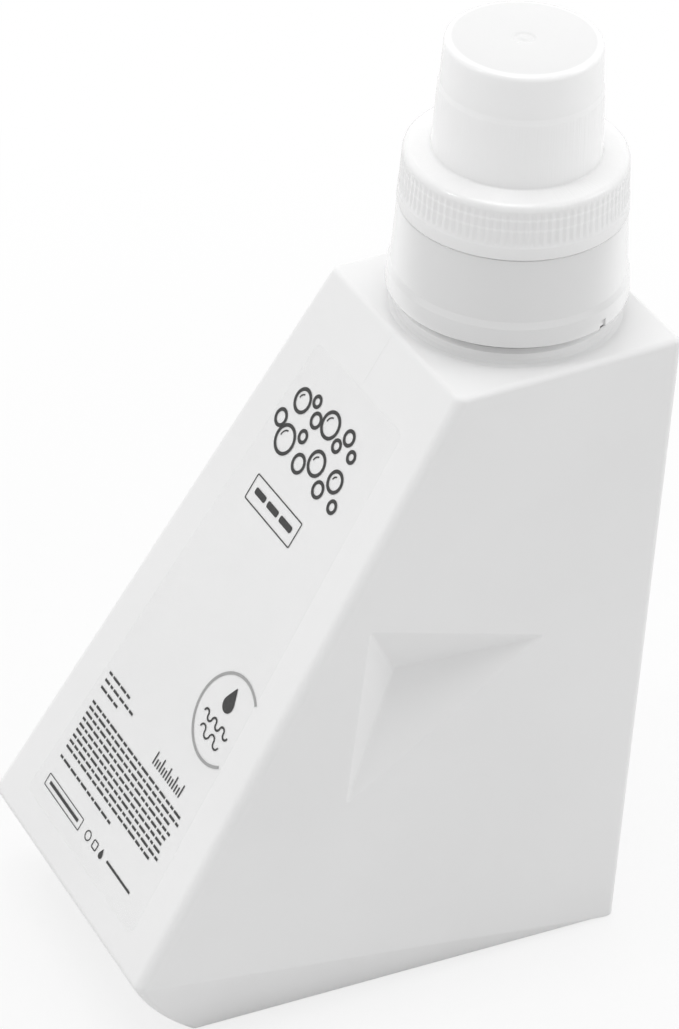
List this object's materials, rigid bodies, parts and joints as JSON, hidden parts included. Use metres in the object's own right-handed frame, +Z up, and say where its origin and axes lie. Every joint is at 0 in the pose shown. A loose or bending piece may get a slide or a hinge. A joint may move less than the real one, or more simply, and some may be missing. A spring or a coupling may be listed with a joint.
{
  "type": "laundry liquid bottle",
  "caption": "Faceted wedge-shaped bottle for laundry liquid, with a finger dent in each side, a pouring collar on its neck and a cup-shaped measuring cap over the spout.",
  "frame": {"origin": "middle of the bottle's footprint, on the level of its base", "axes": "+Z up along the neck; -Y towards the sloping label face; +X to the right of someone who looks at the label"},
  "size_m": [0.0802, 0.132, 0.214],
  "materials": {
    "bottle": "satin white blow-moulded polyethylene",
    "collar": "glossy milky polypropylene",
    "cap": "translucent milky polypropylene, satin",
    "label": "clear glossy film with plain dark print"
  },
  "bodies": {
    "bottle_body": {"bottle": "bottle", "label": "label"},
    "collar_body": {"pouring_collar": "collar"},
    "cap_body": {"measuring_cap": "cap"}
  },
  "joints": [
    {"name": "collar_lift", "type": "slide", "parent": "bottle_body", "child": "collar_body", "axis": [0, 0, 1], "range_m": [0, 0.03]},
    {"name": "cap_lift", "type": "slide", "parent": "collar_body", "child": "cap_body", "axis": [0, 0, 1], "range_m": [0, 0.045]}
  ]
}
